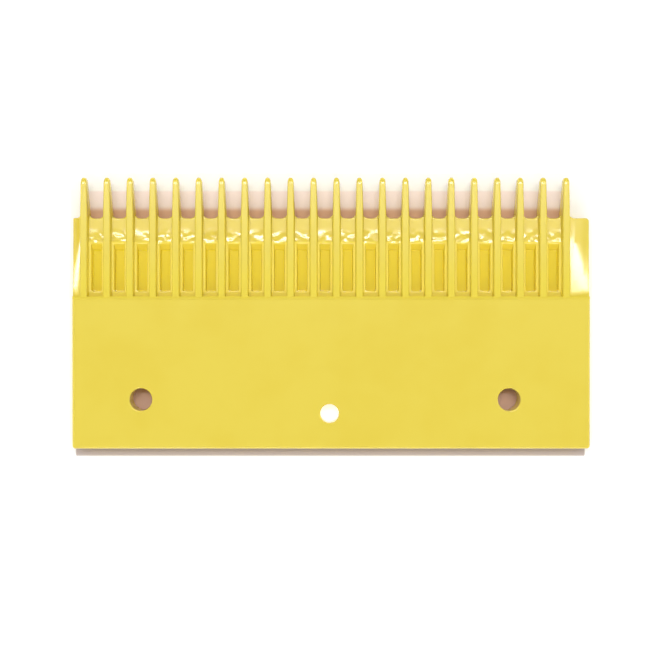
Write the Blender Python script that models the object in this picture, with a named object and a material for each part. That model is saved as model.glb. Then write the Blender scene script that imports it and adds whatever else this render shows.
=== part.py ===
"""Escalator comb plate: one die-cast aluminium end segment with a row of teeth.

The plate is a single casting. A flat base with three screw holes carries a ribbed
front. Each rib runs on past the front edge as a free tooth, and between two ribs the
sunken web has one cored pocket. The underside is flat, so the plate lies on it, and
the base is cored out from below between a rim, stiffening ribs and screw bosses.

Frame: metres, X along the row of teeth, Y towards the tooth tips, Z up. The origin is
at the middle of the bounding box, on the face that the plate lies on.
"""

import math

import bmesh
import bpy
from mathutils import Matrix, Vector

MM = 0.001
NODE_NAME = "comb_plate"

# Overall size
PLATE_WIDTH = 204.0 * MM
PLATE_LENGTH = 107.0 * MM
BASE_LENGTH = 60.0 * MM
BASE_HEIGHT = 9.5 * MM
BASE_CORNER_RADIUS = 1.2 * MM
BASE_EDGE_RADIUS = 1.0 * MM
ROUNDING_STEPS = 3

# Row of teeth, which starts from the left end and fills the width up to the right margin
TOOTH_PITCH = 9.068 * MM
FIRST_TOOTH_INSET = 4.4 * MM
LEAST_RIGHT_MARGIN = 6.0 * MM
TOOTH_TOP_DROP = 0.5 * MM
TOOTH_TOP_WIDTH = 2.8 * MM
TOOTH_FOOT_WIDTH = 3.2 * MM
TOOTH_FREE_LENGTH = 15.9 * MM
NOSE_LENGTH = 2.6 * MM
NOSE_WIDTH_SHARE = 0.84
NOSE_STEPS = 5
NOSE_END_ANGLE = math.radians(78)
UNDERCUT_LENGTH = 19.5 * MM
UNDERCUT_RISE = 5.6 * MM

# Web between the ribs, which lies below the walking surface and falls towards its front
WEB_DROP = 3.4 * MM
WEB_FRONT_FALL = 0.7 * MM
WEB_FRONT_LENGTH = 9.2 * MM
WEB_UNDERSIDE_HEIGHT = 1.0 * MM
GAP_CORNER_RADIUS = 2.5 * MM
GAP_CORNER_STEPS = 6
MARGIN_CORNER_RADIUS = 1.4 * MM

# Pockets sunk in the web
POCKET_DEPTH = 3.0 * MM
POCKET_WIDTH = 4.1 * MM
REAR_LEDGE = 2.1 * MM
FRONT_LEDGE = 0.8 * MM
POCKET_WALL_DRAFT = 0.15 * MM
POCKET_FRONT_RUN = 2.6 * MM
POCKET_CORNER_RADIUS = 0.7 * MM
POCKET_CORNER_STEPS = 2

# Ramps in the two side margins, rising from the web to the base
RAMP_RISE = 1.7 * MM

# Screw holes, placed along X from the middle of the plate and along Y from the rear edge
SIDE_HOLE_DIAMETER = 8.8 * MM
SIDE_HOLE_SPACING = 145.0 * MM
SIDE_HOLES_FROM_MIDDLE = -2.4 * MM
SIDE_HOLE_FROM_REAR = 19.4 * MM
MIDDLE_HOLE_DIAMETER = 7.3 * MM
MIDDLE_HOLE_FROM_MIDDLE = -0.6 * MM
MIDDLE_HOLE_FROM_REAR = 13.9 * MM
HOLE_SIDES = 32

# Blank raised field on the base
FIELD_LENGTH = 35.0 * MM
FIELD_WIDTH = 19.2 * MM
FIELD_HEIGHT = 0.2 * MM
FIELD_FROM_MIDDLE = -1.2 * MM
FIELD_FROM_REAR = 41.1 * MM
FIELD_END_STEPS = 10

# Cored underside of the base
SKIN_THICKNESS = 4.5 * MM
RIM_THICKNESS = 4.0 * MM
CORE_COLUMNS = 10
CORE_ROWS = 2
CORE_RIB_THICKNESS = 2.5 * MM
CORE_CORNER_RADIUS = 2.0 * MM
CORE_CORNER_STEPS = 3
BOSS_DIAMETER = 17.0 * MM
BOSS_SIDES = 32

# Working allowances: how far cutters stand clear and joined bodies run into each other
CLEAR = 2.0 * MM
EMBED = 0.5 * MM
FINGER_INSET = 0.1 * MM
WELD_DISTANCE = 0.002 * MM
FLAT_ANGLE = math.radians(0.05)
SMOOTH_ANGLE = math.radians(35)

# Finish: glossy yellow powder coat
PAINT_COLOUR = (0.83, 0.66, 0.045, 1.0)
PAINT_ROUGHNESS = 0.28
PAINT_METALLIC = 0.0

# Places worked out from the sizes above
TOOTH_HEIGHT = BASE_HEIGHT - TOOTH_TOP_DROP
WEB_HEIGHT = BASE_HEIGHT - WEB_DROP
WEB_FRONT_HEIGHT = WEB_HEIGHT - WEB_FRONT_FALL
TOOTH_COUNT = 1 + int((PLATE_WIDTH - FIRST_TOOTH_INSET - LEAST_RIGHT_MARGIN) / TOOTH_PITCH)
LEFT = -PLATE_WIDTH / 2
RIGHT = PLATE_WIDTH / 2
REAR = -PLATE_LENGTH / 2
TIP = PLATE_LENGTH / 2
STEP = REAR + BASE_LENGTH
ROOT = TIP - TOOTH_FREE_LENGTH
NOSE_START = TIP - NOSE_LENGTH
UNDERCUT_START = TIP - UNDERCUT_LENGTH
POCKET_REAR = STEP + REAR_LEDGE
CREASE = ROOT - WEB_FRONT_LENGTH
POCKET_FRONT = CREASE - FRONT_LEDGE
POCKET_LENGTH = POCKET_FRONT - POCKET_REAR
RAMP_START = CREASE - FRONT_LEDGE / 2
FINGER_HALF_WIDTH = TOOTH_TOP_WIDTH / 2 - FINGER_INSET
FINGER_END = ROOT + GAP_CORNER_RADIUS + EMBED
TOOTH_CENTRES = [LEFT + FIRST_TOOTH_INSET + TOOTH_PITCH * i for i in range(TOOTH_COUNT)]
GAP_CENTRES = [x + TOOTH_PITCH / 2 for x in TOOTH_CENTRES[:-1]]
SIDE_HOLE_Y = REAR + SIDE_HOLE_FROM_REAR
HOLES = [
    (SIDE_HOLES_FROM_MIDDLE - SIDE_HOLE_SPACING / 2, SIDE_HOLE_Y, SIDE_HOLE_DIAMETER),
    (SIDE_HOLES_FROM_MIDDLE + SIDE_HOLE_SPACING / 2, SIDE_HOLE_Y, SIDE_HOLE_DIAMETER),
    (MIDDLE_HOLE_FROM_MIDDLE, REAR + MIDDLE_HOLE_FROM_REAR, MIDDLE_HOLE_DIAMETER),
]


def clear_scene():
    """Removes every object and the collections that held them."""
    for obj in list(bpy.data.objects):
        bpy.data.objects.remove(obj, do_unlink=True)
    for collection in list(bpy.data.collections):
        bpy.data.collections.remove(collection)


def new_collection(name):
    """Adds a collection to the scene."""
    collection = bpy.data.collections.new(name)
    bpy.context.scene.collection.children.link(collection)
    return collection


def mesh_object(name, shape, collection):
    """Writes a bmesh to a new object and frees it."""
    mesh = bpy.data.meshes.new(name)
    shape.to_mesh(mesh)
    shape.free()
    obj = bpy.data.objects.new(name, mesh)
    collection.objects.link(obj)
    return obj


def evaluated_mesh(obj):
    """Gives an object's mesh with its modifiers applied."""
    depsgraph = bpy.context.evaluated_depsgraph_get()
    return bpy.data.meshes.new_from_object(obj.evaluated_get(depsgraph))


def outline_solid(name, points, thickness, collection):
    """Extrudes a closed flat outline to a solid, centred on the XY plane."""
    curve = bpy.data.curves.new(name + "_outline", "CURVE")
    curve.dimensions = "2D"
    curve.fill_mode = "BOTH"
    curve.extrude = thickness / 2
    spline = curve.splines.new("POLY")
    spline.points.add(len(points) - 1)
    for point, (x, y) in zip(spline.points, points):
        point.co = (x, y, 0, 1)
    spline.use_cyclic_u = True
    source = bpy.data.objects.new(name + "_outline", curve)
    collection.objects.link(source)
    shape = bmesh.new()
    shape.from_mesh(evaluated_mesh(source))
    bpy.data.objects.remove(source, do_unlink=True)
    bmesh.ops.remove_doubles(shape, verts=shape.verts, dist=WELD_DISTANCE)
    bmesh.ops.dissolve_limit(
        shape, angle_limit=FLAT_ANGLE, verts=shape.verts, edges=shape.edges)
    bmesh.ops.recalc_face_normals(shape, faces=shape.faces)
    return mesh_object(name, shape, collection)


def side_profile_solid(name, points, low_x, high_x, collection):
    """Extrudes an outline given as (y, z) points along X, from low_x to high_x."""
    solid = outline_solid(name, points, high_x - low_x, collection)
    middle = (low_x + high_x) / 2
    solid.data.transform(Matrix(((0, 0, 1, middle), (1, 0, 0, 0), (0, 1, 0, 0), (0, 0, 0, 1))))
    return solid


def plan_solid(name, points, low_z, high_z, collection):
    """Extrudes an outline given as (x, y) points along Z, from low_z to high_z."""
    solid = outline_solid(name, points, high_z - low_z, collection)
    solid.data.transform(Matrix.Translation((0, 0, (low_z + high_z) / 2)))
    return solid


def upright_cylinder(name, x, y, diameter, low_z, high_z, sides, collection):
    """Makes a cylinder between two heights."""
    shape = bmesh.new()
    bmesh.ops.create_cone(
        shape, cap_ends=True, segments=sides, radius1=diameter / 2, radius2=diameter / 2,
        depth=high_z - low_z, matrix=Matrix.Translation((x, y, (low_z + high_z) / 2)))
    return mesh_object(name, shape, collection)


def box(shape, low, high):
    """Adds a box between two corners to a bmesh and gives its vertices."""
    size = Vector(high) - Vector(low)
    middle = (Vector(low) + Vector(high)) / 2
    place = Matrix.Translation(middle) @ Matrix.Diagonal((*size, 1))
    return bmesh.ops.create_cube(shape, size=1, matrix=place)["verts"]


def arc(centre, radius, start, end, steps):
    """Gives the points of an arc, both ends included, with its angles in degrees."""
    angles = [math.radians(start + (end - start) * i / steps) for i in range(steps + 1)]
    return [(centre[0] + radius * math.cos(a), centre[1] + radius * math.sin(a)) for a in angles]


def round_edges(shape, edges, radius, steps):
    """Rounds some edges of a bmesh."""
    bmesh.ops.bevel(
        shape, geom=list(set(edges)), offset=radius, segments=steps, profile=0.5, affect="EDGES")


def upright_edges(verts):
    """Gives the edges among some vertices that join two different heights."""
    edges = {e for v in verts for e in v.link_edges}
    return [e for e in edges if abs(e.verts[0].co.z - e.verts[1].co.z) > EMBED]


def join(target, others):
    """Puts closed bodies into one object, where they stay separate."""
    shape = bmesh.new()
    for obj in [target, *others]:
        shape.from_mesh(obj.data)
    shape.to_mesh(target.data)
    shape.free()
    for obj in others:
        bpy.data.objects.remove(obj, do_unlink=True)
    return target


def combine(body, other, operation):
    """Applies an exact Boolean to the body and removes the other object."""
    modifier = body.modifiers.new(operation.lower(), "BOOLEAN")
    modifier.operation = operation
    modifier.solver = "EXACT"
    modifier.object = other
    mesh = evaluated_mesh(body)
    body.modifiers.clear()
    body.data = mesh
    bpy.data.objects.remove(other, do_unlink=True)


def tidy_mesh(obj):
    """Merges doubled points and the flat faces that Booleans leave split."""
    shape = bmesh.new()
    shape.from_mesh(obj.data)
    bmesh.ops.remove_doubles(shape, verts=shape.verts, dist=WELD_DISTANCE)
    bmesh.ops.dissolve_limit(
        shape, angle_limit=FLAT_ANGLE, verts=shape.verts, edges=shape.edges)
    shape.to_mesh(obj.data)
    shape.free()


def underside(y):
    """Gives the height of the underside, which rises in a straight line below the teeth."""
    return UNDERCUT_RISE * max(0.0, y - UNDERCUT_START) / (NOSE_START - UNDERCUT_START)


def body_block(collection):
    """Makes the base and the web with its margin ramps as one side profile, full width.

    The base is rounded at its rear corners and along its top edges. The front of the web
    is still uncut, and so are the grooves between the ribs.
    """
    profile = [
        (REAR, 0),
        (STEP, 0),
        (STEP, WEB_UNDERSIDE_HEIGHT),
        (UNDERCUT_START, WEB_UNDERSIDE_HEIGHT),
        (FINGER_END, WEB_UNDERSIDE_HEIGHT + underside(FINGER_END)),
        (FINGER_END, WEB_FRONT_HEIGHT),
        (ROOT, WEB_FRONT_HEIGHT),
        (CREASE, WEB_HEIGHT),
        (RAMP_START, WEB_HEIGHT),
        (POCKET_REAR, WEB_HEIGHT + RAMP_RISE),
        (STEP, WEB_HEIGHT + RAMP_RISE),
        (STEP, BASE_HEIGHT),
        (REAR, BASE_HEIGHT),
    ]
    body = side_profile_solid(NODE_NAME, profile, LEFT, RIGHT, collection)
    shape = bmesh.new()
    shape.from_mesh(body.data)
    at_rear = [v for v in shape.verts if v.co.y < REAR + EMBED]
    rear_corners = [e for e in upright_edges(at_rear) if all(v.co.y < REAR + EMBED for v in e.verts)]
    round_edges(shape, rear_corners, BASE_CORNER_RADIUS, ROUNDING_STEPS)
    top = [e for e in shape.edges if all(v.co.z > BASE_HEIGHT - EMBED for v in e.verts)]
    round_edges(shape, top, BASE_EDGE_RADIUS, ROUNDING_STEPS)
    shape.to_mesh(body.data)
    shape.free()
    return body


def groove_cutter(collection):
    """Makes the cutter that takes the ramps away between the two end ribs."""
    front = (CREASE + RAMP_START) / 2
    top = WEB_HEIGHT + RAMP_RISE + EMBED
    profile = [(STEP, WEB_HEIGHT), (front, WEB_HEIGHT), (front, top), (STEP, top)]
    return side_profile_solid(
        "groove_cutter", profile, TOOTH_CENTRES[0], TOOTH_CENTRES[-1], collection)


def gap_cutter(centre, collection):
    """Makes the cutter of one gap between two teeth, round in its two inner corners."""
    half = TOOTH_PITCH / 2 - FINGER_HALF_WIDTH
    radius = GAP_CORNER_RADIUS
    far = FINGER_END + CLEAR
    outline = [(centre + half, far), (centre - half, far)]
    outline += arc((centre - half + radius, ROOT + radius), radius, 180, 270, GAP_CORNER_STEPS)
    outline += arc((centre + half - radius, ROOT + radius), radius, 270, 360, GAP_CORNER_STEPS)
    return plan_solid("gap_cutter", outline, -CLEAR, WEB_HEIGHT + CLEAR, collection)


def margin_cutter(side, collection):
    """Makes the cutter in front of a side margin; side is -1 at the left end, 1 at the right."""
    tooth = TOOTH_CENTRES[0] if side < 0 else TOOTH_CENTRES[-1]
    flank = tooth + side * FINGER_HALF_WIDTH
    edge = side * PLATE_WIDTH / 2
    inner = GAP_CORNER_RADIUS
    outer = min(MARGIN_CORNER_RADIUS, (abs(edge - flank) - inner) / 2)
    far = FINGER_END + CLEAR
    outline = [(edge + side * CLEAR, far), (edge + side * CLEAR, ROOT - outer)]
    outline += [
        (edge - side * outer + side * x, y)
        for x, y in arc((0, ROOT - outer), outer, 0, 90, GAP_CORNER_STEPS)]
    outline += [
        (flank + side * (inner + x), y)
        for x, y in arc((0, ROOT + inner), inner, 270, 180, GAP_CORNER_STEPS)]
    outline.append((flank, far))
    return plan_solid("margin_cutter", outline, -CLEAR, WEB_HEIGHT + CLEAR, collection)


def pocket_cutter(centre, collection):
    """Makes the cutter of one pocket, with drafted walls and a sloping front.

    In a short pocket the slope and the corners shrink to what its length leaves them.
    """
    shape = bmesh.new()
    low = (centre - POCKET_WIDTH / 2, POCKET_REAR, WEB_HEIGHT - POCKET_DEPTH)
    high = (centre + POCKET_WIDTH / 2, POCKET_FRONT, WEB_HEIGHT + EMBED)
    front_run = min(POCKET_FRONT_RUN, POCKET_LENGTH / 3)
    corner_radius = min(POCKET_CORNER_RADIUS, POCKET_LENGTH / 6)
    verts = box(shape, low, high)
    for v in verts:
        rise = (v.co.z - WEB_HEIGHT) / POCKET_DEPTH
        v.co.x += math.copysign(POCKET_WALL_DRAFT * rise, v.co.x - centre)
        if v.co.y > (POCKET_REAR + POCKET_FRONT) / 2:
            v.co.y += front_run * rise
    round_edges(shape, upright_edges(verts), corner_radius, POCKET_CORNER_STEPS)
    return mesh_object("pocket_cutter", shape, collection)


def tooth_sections():
    """Gives the tooth's cross-sections from the base to the tip.

    Each one is (y, top width, foot width, top height, foot height).
    """
    sections = [
        (y, TOOTH_TOP_WIDTH, TOOTH_FOOT_WIDTH, TOOTH_HEIGHT, underside(y))
        for y in (STEP - EMBED, UNDERCUT_START, ROOT)]
    nose_middle = (TOOTH_HEIGHT + UNDERCUT_RISE) / 2
    nose_half = (TOOTH_HEIGHT - UNDERCUT_RISE) / 2
    for i in range(NOSE_STEPS + 1):
        angle = NOSE_END_ANGLE * i / NOSE_STEPS
        share = NOSE_WIDTH_SHARE * math.cos(angle)
        y = NOSE_START + NOSE_LENGTH * math.sin(angle) / math.sin(NOSE_END_ANGLE)
        rise = nose_half * math.cos(angle)
        sections.append((
            y, TOOTH_TOP_WIDTH * share, TOOTH_FOOT_WIDTH * share,
            nose_middle + rise, nose_middle - rise))
    return sections


def tooth(centre, collection):
    """Lofts one tooth with its rib through its cross-sections."""
    shape = bmesh.new()
    rings = []
    for y, top_width, foot_width, top, foot in tooth_sections():
        corners = (
            (-foot_width / 2, foot), (foot_width / 2, foot), (top_width / 2, top), (-top_width / 2, top))
        rings.append([shape.verts.new((centre + x, y, z)) for x, z in corners])
    for near, far in zip(rings, rings[1:]):
        for i in range(4):
            k = (i + 1) % 4
            shape.faces.new((near[i], near[k], far[k], far[i]))
    shape.faces.new(rings[0])
    shape.faces.new(rings[-1])
    bmesh.ops.recalc_face_normals(shape, faces=shape.faces)
    return mesh_object("tooth", shape, collection)


def blank_field(collection):
    """Makes the low raised field with round ends."""
    y = REAR + FIELD_FROM_REAR
    radius = FIELD_WIDTH / 2
    reach = FIELD_LENGTH / 2 - radius
    outline = arc((FIELD_FROM_MIDDLE + reach, y), radius, -90, 90, FIELD_END_STEPS)
    outline += arc((FIELD_FROM_MIDDLE - reach, y), radius, 90, 270, FIELD_END_STEPS)
    return plan_solid("field", outline, BASE_HEIGHT - EMBED, BASE_HEIGHT + FIELD_HEIGHT, collection)


def core_cutters(collection):
    """Makes the cutters that hollow the base from below, between its rim and its ribs."""
    cell_width = (PLATE_WIDTH - 2 * RIM_THICKNESS + CORE_RIB_THICKNESS) / CORE_COLUMNS - CORE_RIB_THICKNESS
    cell_length = (BASE_LENGTH - 2 * RIM_THICKNESS + CORE_RIB_THICKNESS) / CORE_ROWS - CORE_RIB_THICKNESS
    cutters = []
    for column in range(CORE_COLUMNS):
        for row in range(CORE_ROWS):
            x = LEFT + RIM_THICKNESS + column * (cell_width + CORE_RIB_THICKNESS)
            y = REAR + RIM_THICKNESS + row * (cell_length + CORE_RIB_THICKNESS)
            shape = bmesh.new()
            verts = box(
                shape, (x, y, -CLEAR), (x + cell_width, y + cell_length, BASE_HEIGHT - SKIN_THICKNESS))
            round_edges(shape, upright_edges(verts), CORE_CORNER_RADIUS, CORE_CORNER_STEPS)
            cutters.append(mesh_object("core_cutter", shape, collection))
    return cutters


def boss_bodies(collection):
    """Makes the round bodies that the cores leave standing round the screw holes."""
    return [
        upright_cylinder(
            "boss", x, y, BOSS_DIAMETER, -2 * CLEAR, BASE_HEIGHT, BOSS_SIDES, collection)
        for x, y, _ in HOLES]


def hole_cutters(collection):
    """Makes the cutters of the three screw holes."""
    return [
        upright_cylinder(
            "hole_cutter", x, y, diameter, -CLEAR, BASE_HEIGHT + CLEAR, HOLE_SIDES, collection)
        for x, y, diameter in HOLES]


def paint():
    """Makes the glossy yellow powder coat."""
    material = bpy.data.materials.new("yellow_powder_coat")
    material.use_nodes = True
    shader = material.node_tree.nodes["Principled BSDF"]
    shader.inputs["Base Color"].default_value = PAINT_COLOUR
    shader.inputs["Roughness"].default_value = PAINT_ROUGHNESS
    shader.inputs["Metallic"].default_value = PAINT_METALLIC
    return material


def comb_plate(parts, cutters):
    """Builds the whole casting as one closed body."""
    plate = body_block(parts)
    combine(plate, groove_cutter(cutters), "DIFFERENCE")
    gaps = [gap_cutter(x, cutters) for x in GAP_CENTRES]
    gaps += [margin_cutter(side, cutters) for side in (-1, 1)]
    combine(plate, join(gaps[0], gaps[1:]), "DIFFERENCE")
    pockets = [pocket_cutter(x, cutters) for x in GAP_CENTRES]
    combine(plate, join(pockets[0], pockets[1:]), "DIFFERENCE")
    cores = core_cutters(cutters)
    cores = join(cores[0], cores[1:])
    bosses = boss_bodies(cutters)
    combine(cores, join(bosses[0], bosses[1:]), "DIFFERENCE")
    combine(plate, cores, "DIFFERENCE")
    combine(plate, blank_field(parts), "UNION")
    holes = hole_cutters(cutters)
    combine(plate, join(holes[0], holes[1:]), "DIFFERENCE")
    teeth = [tooth(x, parts) for x in TOOTH_CENTRES]
    combine(plate, join(teeth[0], teeth[1:]), "UNION")
    tidy_mesh(plate)
    plate.data.name = NODE_NAME
    plate.data.materials.clear()
    plate.data.materials.append(paint())
    plate.data.shade_smooth()
    plate.data.set_sharp_from_angle(angle=SMOOTH_ANGLE)
    return plate


def main():
    """Clears the scene and builds the part."""
    clear_scene()
    parts = new_collection("escalator_comb_plate")
    cutters = new_collection("cutters")
    comb_plate(parts, cutters)
    bpy.data.collections.remove(cutters)


main()
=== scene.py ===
"""Looks of an escalator comb plate: one die-cast segment under a glossy yellow powder coat.

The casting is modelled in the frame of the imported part, in metres, with X along the row of
teeth, Y towards the tooth tips and Z up. A thick base with three screw holes carries a web,
each gap of which holds one cored pocket, and a row of ribs that run on as free teeth.
"""

from __future__ import annotations

import logging
import math
import sys
from collections.abc import Callable, Iterator
from contextlib import contextmanager
from dataclasses import dataclass
from enum import Enum
from functools import partial, reduce

import bmesh
import bpy
from mathutils import Matrix, Vector

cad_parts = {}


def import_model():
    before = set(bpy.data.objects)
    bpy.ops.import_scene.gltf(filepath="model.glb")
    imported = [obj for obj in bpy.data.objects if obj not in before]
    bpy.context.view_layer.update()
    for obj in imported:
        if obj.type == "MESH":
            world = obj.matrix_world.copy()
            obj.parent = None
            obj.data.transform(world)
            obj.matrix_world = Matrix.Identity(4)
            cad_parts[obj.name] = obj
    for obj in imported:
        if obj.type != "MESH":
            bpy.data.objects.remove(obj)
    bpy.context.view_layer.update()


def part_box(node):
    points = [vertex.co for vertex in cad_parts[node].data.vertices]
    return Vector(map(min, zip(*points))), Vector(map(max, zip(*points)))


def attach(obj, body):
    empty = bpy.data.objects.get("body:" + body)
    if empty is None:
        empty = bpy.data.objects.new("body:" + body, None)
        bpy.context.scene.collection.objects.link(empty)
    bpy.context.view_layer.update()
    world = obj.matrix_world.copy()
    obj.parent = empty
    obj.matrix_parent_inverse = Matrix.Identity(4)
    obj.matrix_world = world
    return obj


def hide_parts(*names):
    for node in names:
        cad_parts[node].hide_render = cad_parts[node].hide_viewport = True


MM = 0.001
NODE = "comb_plate"
NEAR = 0.02 * MM
DOUBLED = NEAR / 5
FLAT = math.radians(0.05)
FACING = 0.99
MOST_LEAN = 0.5
Socket = bpy.types.NodeSocket
log = logging.getLogger("comb_plate")


class Domain(Enum):
    """What an edit works on."""

    VERTS = "VERT"
    EDGES = "EDGE"
    FACES = "FACE"


class Blend(Enum):
    """How a Boolean combines two bodies."""

    WELD = "UNION"
    CUT = "DIFFERENCE"


class Side(Enum):
    """The two ends of the row of teeth, with the sign of X there."""

    LEFT = -1
    RIGHT = 1


# Modelling bench


def choose(*pieces: bpy.types.Object) -> None:
    """Selects some objects and nothing else, with the first one active.

    Args:
        pieces: The objects to select.
    """
    bpy.ops.object.select_all(action="DESELECT")
    for piece in pieces:
        piece.select_set(True)
    bpy.context.view_layer.objects.active = pieces[0]


@contextmanager
def editing(piece: bpy.types.Object, domain: Domain) -> Iterator[None]:
    """Holds an object in edit mode with nothing selected.

    Args:
        piece: The object to edit.
        domain: The kind of element that its operators select.

    Yields:
        Nothing, while the object is in edit mode.
    """
    choose(piece)
    bpy.ops.object.mode_set(mode="EDIT")
    bpy.ops.mesh.select_mode(type=domain.value)
    bpy.ops.mesh.select_all(action="DESELECT")
    yield
    bpy.ops.object.mode_set(mode="OBJECT")


def pick(piece: bpy.types.Object, domain: Domain, test: Callable[..., bool]) -> int:
    """Selects the elements of a mesh in edit mode that pass a test.

    Args:
        piece: The object in edit mode.
        domain: The kind of element that is tested.
        test: Takes a bmesh vertex, edge or face.

    Returns:
        How many elements are selected.
    """
    bpy.ops.mesh.select_all(action="DESELECT")
    shape = bmesh.from_edit_mesh(piece.data)
    shape.normal_update()
    elements = {Domain.VERTS: shape.verts, Domain.EDGES: shape.edges, Domain.FACES: shape.faces}[domain]
    found = [element for element in elements if test(element)]
    for element in found:
        element.select_set(True)
    shape.select_flush_mode()
    bmesh.update_edit_mesh(piece.data)
    return len(found)


def slice_at(place: tuple, normal: tuple, cut_off: bool = False) -> None:
    """Cuts the selected part of a mesh in edit mode with a plane.

    Args:
        place: A point of the plane.
        normal: The plane's normal.
        cut_off: Whether what lies on the normal's side is removed and the hole filled.
    """
    bpy.ops.mesh.bisect(
        plane_co=place, plane_no=Vector(normal).normalized(), threshold=NEAR / 20,
        clear_outer=cut_off, use_fill=cut_off)


def block(name: str, low: tuple, high: tuple) -> bpy.types.Object:
    """Adds a box between two corners, with its origin at the world's.

    Args:
        name: The object's name.
        low: The lowest corner.
        high: The highest corner.

    Returns:
        The new object.
    """
    size = Vector(high) - Vector(low)
    bpy.ops.object.select_all(action="DESELECT")
    bpy.ops.mesh.primitive_cube_add(size=1, location=(Vector(low) + Vector(high)) / 2, scale=size)
    return settled(name)


def drum(name: str, x: float, y: float, radius: float, low_z: float, high_z: float,
         sides: int) -> bpy.types.Object:
    """Adds an upright cylinder between two heights.

    Args:
        name: The object's name.
        x: The axis's place along X.
        y: The axis's place along Y.
        radius: The cylinder's radius.
        low_z: The height of its foot.
        high_z: The height of its top.
        sides: How many flat sides it has.

    Returns:
        The new object.
    """
    bpy.ops.object.select_all(action="DESELECT")
    bpy.ops.mesh.primitive_cylinder_add(
        vertices=sides, radius=radius, depth=high_z - low_z, location=(x, y, (low_z + high_z) / 2))
    return settled(name)


def settled(name: str) -> bpy.types.Object:
    """Names the new active object and moves its place into its mesh.

    Args:
        name: The object's name.

    Returns:
        The object, with its origin at the world's.
    """
    piece = bpy.context.active_object
    piece.name = name
    bpy.ops.object.transform_apply(location=True, rotation=True, scale=True)
    return piece


def round_off(piece: bpy.types.Object, radius: float, steps: int, test: Callable[..., bool]) -> int:
    """Bevels the edges of an object that pass a test.

    Args:
        piece: The object, in object mode.
        radius: The width of the bevel on each face.
        steps: How many segments the round has.
        test: Takes a bmesh edge.

    Returns:
        How many edges were rounded.
    """
    with editing(piece, Domain.EDGES):
        count = pick(piece, Domain.EDGES, test)
        if count:
            bpy.ops.mesh.bevel(
                offset_type="OFFSET", offset=radius, segments=steps, profile=0.5,
                affect="EDGES", clamp_overlap=False, loop_slide=True)
    return count


def merge(piece: bpy.types.Object, reach: float = DOUBLED) -> None:
    """Merges the corners of an object that lie on one another.

    Args:
        piece: The object, in object mode.
        reach: How far apart two corners may lie.
    """
    with editing(piece, Domain.VERTS):
        bpy.ops.mesh.select_all(action="SELECT")
        bpy.ops.mesh.remove_doubles(threshold=reach)


def flatten(piece: bpy.types.Object) -> None:
    """Dissolves the edges and corners that lie inside the flat faces of an object."""
    with editing(piece, Domain.VERTS):
        bpy.ops.mesh.select_all(action="SELECT")
        bpy.ops.mesh.dissolve_limited(angle_limit=FLAT)


def copies(piece: bpy.types.Object, across: list[float],
           along: tuple | list[float] = (0.0,)) -> bpy.types.Object:
    """Copies a piece along X and Y, each copy with its own mesh, and joins the copies.

    Args:
        piece: The model, which is removed.
        across: How far the copies stand from the model along X.
        along: How far the rows of copies stand from the model along Y.

    Returns:
        One object that holds all the copies as separate bodies.
    """
    made = []
    for y in along:
        for x in across:
            twin = piece.copy()
            twin.data = piece.data.copy()
            twin.data.transform(Matrix.Translation((x, y, 0)))
            bpy.context.collection.objects.link(twin)
            made.append(twin)
    bpy.data.objects.remove(piece)
    return gathered(made)


def gathered(pieces: list[bpy.types.Object]) -> bpy.types.Object:
    """Joins several objects.

    Args:
        pieces: The objects.

    Returns:
        The first one, which holds them all as separate bodies.
    """
    choose(*pieces)
    if len(pieces) > 1:
        bpy.ops.object.join()
    return pieces[0]


def combine(body: bpy.types.Object, tool: bpy.types.Object, how: Blend) -> None:
    """Applies a Boolean to a body and removes the tool.

    Args:
        body: The object that is changed.
        tool: The object that is added or cut away.
        how: The kind of Boolean.
    """
    choose(body)
    modifier = body.modifiers.new(how.name.lower(), "BOOLEAN")
    modifier.operation = how.value
    modifier.solver = "EXACT"
    modifier.object = tool
    bpy.ops.object.modifier_apply(modifier=modifier.name)
    bpy.data.objects.remove(tool)


def is_corner(edge: bmesh.types.BMEdge, least: float = math.radians(35)) -> bool:
    """Tells whether the two faces at an edge meet at more than an angle."""
    return len(edge.link_faces) == 2 and edge.calc_face_angle(0.0) > least


def both(edge: bmesh.types.BMEdge, test: Callable[[Vector], bool]) -> bool:
    """Tells whether both ends of an edge pass a test of their place."""
    return all(test(vert.co) for vert in edge.verts)


def upright(edge: bmesh.types.BMEdge) -> bool:
    """Tells whether an edge stands upright, or leans a little."""
    run = edge.verts[1].co - edge.verts[0].co
    return abs(run.z) > NEAR and Vector((run.x, run.y)).length < MOST_LEAN * abs(run.z)


# The casting


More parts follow.
